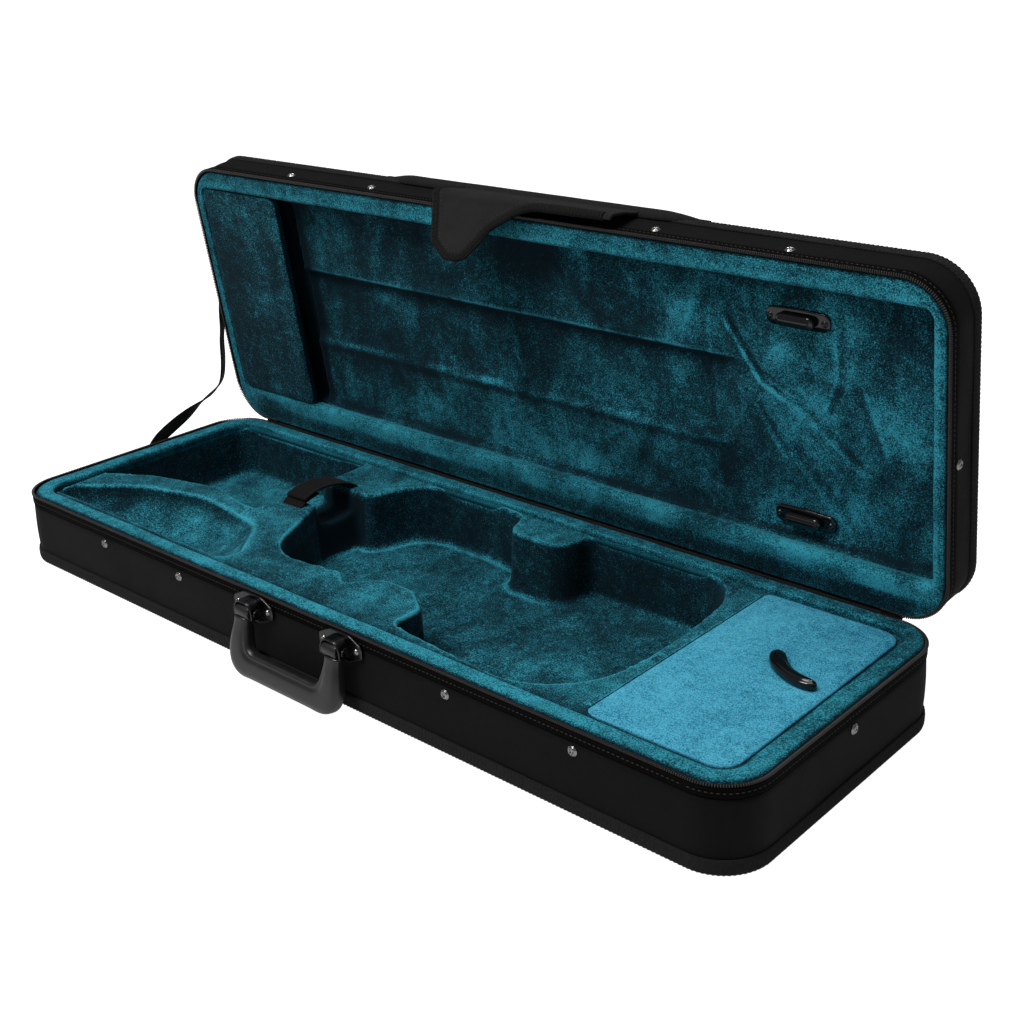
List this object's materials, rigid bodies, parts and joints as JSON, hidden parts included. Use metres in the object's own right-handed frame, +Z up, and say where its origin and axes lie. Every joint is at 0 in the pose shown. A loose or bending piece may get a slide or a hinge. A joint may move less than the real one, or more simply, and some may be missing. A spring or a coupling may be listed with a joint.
{
  "type": "violin case",
  "caption": "Oblong soft-covered violin case with velvet-lined foam cavity, hinged padded lid, bow holders, accessory compartment and carrying handle.",
  "frame": {"origin": "centre of the base's underside", "axes": "+X along the case towards the accessory compartment, +Y from the handle side to the hinge side, +Z up"},
  "size_m": [0.7922, 0.3302, 0.3382],
  "materials": {
    "nylon": "matt woven nylon",
    "webbing": "herringbone webbing and zip tape",
    "velvet": "crushed teal velvet",
    "blue_velvet": "bright blue velvet",
    "black_plastic": "satin moulded plastic",
    "gunmetal": "black nickel plate",
    "nickel": "bright nickel rivets and screws"
  },
  "bodies": {
    "base": {"base_bottom_trim": "webbing", "base_front_rivet_1": "nickel", "base_front_rivet_2": "nickel", "base_front_rivet_3": "nickel", "base_front_rivet_4": "nickel", "base_left_rivet": "nickel", "base_right_rivet": "nickel", "base_rim_pad": "velvet", "base_shell": "nylon", "base_zip_tape": "webbing", "compartment_hinge_cloth": "velvet", "foam_insert": "velvet", "handle_bracket_left": "gunmetal", "handle_bracket_left_rivet_1": "nickel", "handle_bracket_left_rivet_2": "nickel", "handle_bracket_left_rivet_3": "nickel", "handle_bracket_right": "gunmetal", "handle_bracket_right_rivet_1": "nickel", "handle_bracket_right_rivet_2": "nickel", "handle_bracket_right_rivet_3": "nickel", "hinge_cloth": "nylon", "neck_strap_tab": "webbing", "stay_strap": "webbing"},
    "lid": {"bow_holder_1_screw_1": "nickel", "bow_holder_1_screw_2": "nickel", "bow_holder_2_screw_1": "nickel", "bow_holder_2_screw_2": "nickel", "bow_holder_plate_1": "black_plastic", "bow_holder_plate_2": "black_plastic", "bow_tip_panel": "velvet", "front_flap_root": "nylon", "lid_edge_trim": "webbing", "lid_front_rivet_1": "nickel", "lid_front_rivet_2": "nickel", "lid_front_rivet_3": "nickel", "lid_front_rivet_4": "nickel", "lid_left_rivet": "nickel", "lid_lining": "velvet", "lid_right_rivet": "nickel", "lid_rim_pad": "velvet", "lid_shell": "nylon", "lid_zip_tape": "webbing"},
    "front_flap": {"front_flap_tongue": "nylon"},
    "compartment_lid": {"compartment_lid": "blue_velvet", "compartment_knob": "black_plastic"},
    "neck_strap_flap": {"neck_strap_flap": "webbing"},
    "handle": {"handle_grip": "black_plastic"},
    "bow_toggle_1": {"bow_toggle_1": "black_plastic"},
    "bow_toggle_2": {"bow_toggle_2": "black_plastic"},
    "zip_slider_left": {"zip_slider_left": "gunmetal"},
    "zip_slider_right": {"zip_slider_right": "gunmetal"},
    "zip_pull_left": {"zip_pull_left": "gunmetal"},
    "zip_pull_right": {"zip_pull_right": "gunmetal"}
  },
  "joints": [
    {"name": "lid_hinge", "type": "hinge", "parent": "base", "child": "lid", "pos_m": [0, 0.132, 0.065], "axis": [1, 0, 0], "range_deg": [-18, 82], "deforming": ["hinge_cloth", "stay_strap"]},
    {"name": "front_flap_swing", "type": "hinge", "parent": "lid", "child": "front_flap", "pos_m": [0, 0.09585, 0.33661], "axis": [1, 0, 0], "range_deg": [-82, 18]},
    {"name": "compartment_lid_hinge", "type": "hinge", "parent": "base", "child": "compartment_lid", "pos_m": [0.255, 0, 0.0604], "axis": [0, 1, 0], "range_deg": [-100, 0], "deforming": ["compartment_hinge_cloth"]},
    {"name": "neck_strap_lift", "type": "hinge", "parent": "base", "child": "neck_strap_flap", "pos_m": [0, 0.076, 0.0612], "axis": [1, 0, 0], "range_deg": [-100, 0]},
    {"name": "handle_swing", "type": "hinge", "parent": "base", "child": "handle", "pos_m": [0, -0.14, 0.052], "axis": [1, 0, 0], "range_deg": [-75, 0]},
    {"name": "bow_toggle_1_turn", "type": "hinge", "parent": "lid", "child": "bow_toggle_1", "pos_m": [0.27, 0.11452, 0.27562], "axis": [0, 0.9903, 0.1392], "continuous": true},
    {"name": "bow_toggle_2_turn", "type": "hinge", "parent": "lid", "child": "bow_toggle_2", "pos_m": [0.27, 0.13699, 0.11569], "axis": [0, 0.9903, 0.1392], "continuous": true},
    {"name": "zip_slider_left_slide", "type": "slide", "parent": "base", "child": "zip_slider_left", "axis": [-1, 0, 0], "range_m": [0, 0.01]},
    {"name": "zip_pull_left_swing", "type": "hinge", "parent": "zip_slider_left", "child": "zip_pull_left", "pos_m": [-0.338, 0.1372, 0.056], "axis": [1, 0, 0], "range_deg": [0, 90]},
    {"name": "zip_slider_right_slide", "type": "slide", "parent": "base", "child": "zip_slider_right", "axis": [1, 0, 0], "range_m": [0, 0.01]},
    {"name": "zip_pull_right_swing", "type": "hinge", "parent": "zip_slider_right", "child": "zip_pull_right", "pos_m": [0.338, 0.1372, 0.056], "axis": [1, 0, 0], "range_deg": [0, 90]}
  ],
  "couplings": [
    {"joint": "front_flap_swing", "follows": "lid_hinge", "ratio": -1}
  ]
}
